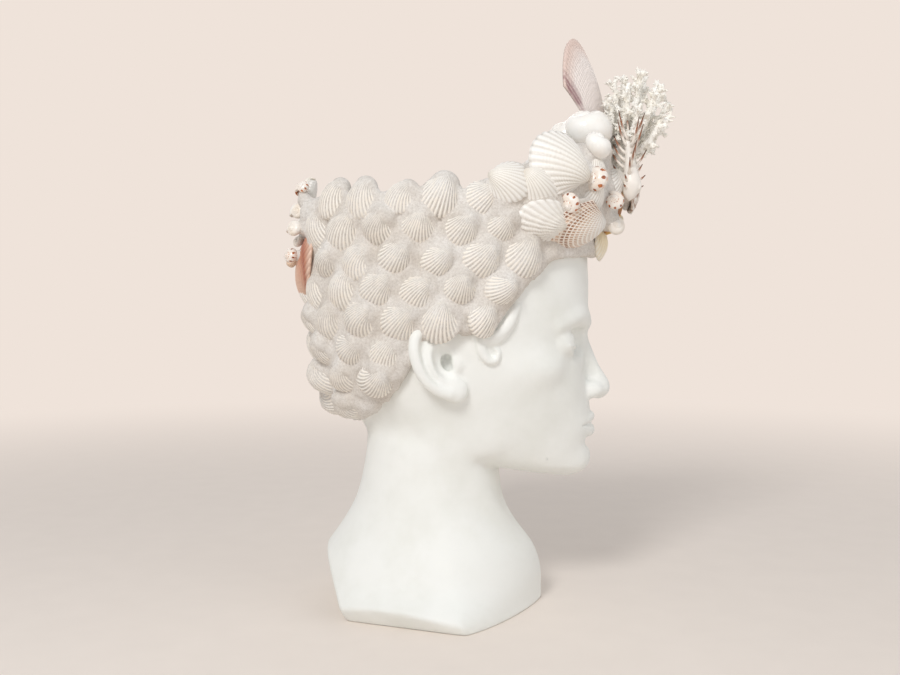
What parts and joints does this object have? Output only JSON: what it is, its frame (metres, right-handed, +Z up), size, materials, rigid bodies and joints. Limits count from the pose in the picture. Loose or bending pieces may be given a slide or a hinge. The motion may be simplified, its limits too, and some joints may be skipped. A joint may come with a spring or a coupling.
{
  "type": "head planter",
  "caption": "Classical head planter: a white cast bust with an open bowl, its hair set with mortared cockles and its brow crowned with sea shells and coral.",
  "frame": {"origin": "centre of the drain hole's mouth, in the flat underside of the bust", "axes": "+Z up along the drain hole and the neck, +X the way the face looks, +Y the head's left side"},
  "size_m": [0.2962, 0.1894, 0.4234],
  "materials": {
    "cast_stone": "matt white casting, lightly sealed",
    "mortar": "sandy grey-white mortar",
    "mortared_shell": "ribbed shell under a thin coat of mortar",
    "white_shell": "satin white shell",
    "pink_shell": "thin satin shell, pink-white with brown edges",
    "banded_shell": "ribbed shell with brown bands",
    "spotted_shell": "glossy shell with orange-brown spots",
    "yellow_shell": "pale yellow ribbed shell",
    "olive_shell": "dull olive-grey shell",
    "coral": "porous cream coral"
  },
  "bodies": {
    "root": {"head_casting": "cast_stone", "hair_bed": "mortar", "crown_bed": "mortar", "spray_bed": "mortar", "hair_shells_row_1": "mortared_shell", "hair_shells_row_2": "mortared_shell", "hair_shells_row_3": "mortared_shell", "hair_shells_row_4": "mortared_shell", "hair_shells_row_5": "mortared_shell", "hair_shells_row_6": "mortared_shell", "hair_shells_row_7": "mortared_shell", "hair_shells_row_8": "mortared_shell", "angel_wing_right": "white_shell", "angel_wing_left": "white_shell", "banded_scallop_right": "banded_shell", "banded_scallop_left": "banded_shell", "ribbed_cockle_temple_right": "white_shell", "ribbed_cockle_temple_left": "white_shell", "ribbed_cockle_side_right": "white_shell", "ribbed_cockle_side_left": "white_shell", "ribbed_cockle_rim_right": "white_shell", "ribbed_cockle_rim_left": "white_shell", "yellow_cockle_brow": "yellow_shell", "gold_cockle_brow": "yellow_shell", "brown_scallop_front": "banded_shell", "striped_cockle_front": "banded_shell", "spotted_snail_brow_right": "spotted_shell", "spotted_snail_temple_right": "spotted_shell", "spotted_snail_front_right": "spotted_shell", "spotted_snail_brow_left": "spotted_shell", "spotted_snail_temple_left": "spotted_shell", "moon_snail_small": "white_shell", "white_snail_brow": "white_shell", "white_snail_brow_left": "white_shell", "moon_snail_front": "white_shell", "moon_snail_rear": "white_shell", "moon_snail_left": "white_shell", "crown_cockles": "white_shell", "olive_limpet": "olive_shell", "spined_murex": "pink_shell", "tall_fan_scallop": "pink_shell", "coral_branch": "coral", "striped_scallop_back": "banded_shell", "back_snail_spotted_top": "spotted_shell", "back_snail_white_upper": "white_shell", "back_snail_white_lower": "white_shell", "back_snail_small": "white_shell", "back_snail_spotted_low": "spotted_shell", "back_snail_spiky": "spotted_shell", "back_snail_white_left": "white_shell", "back_cockle": "white_shell"}
  },
  "joints": []
}
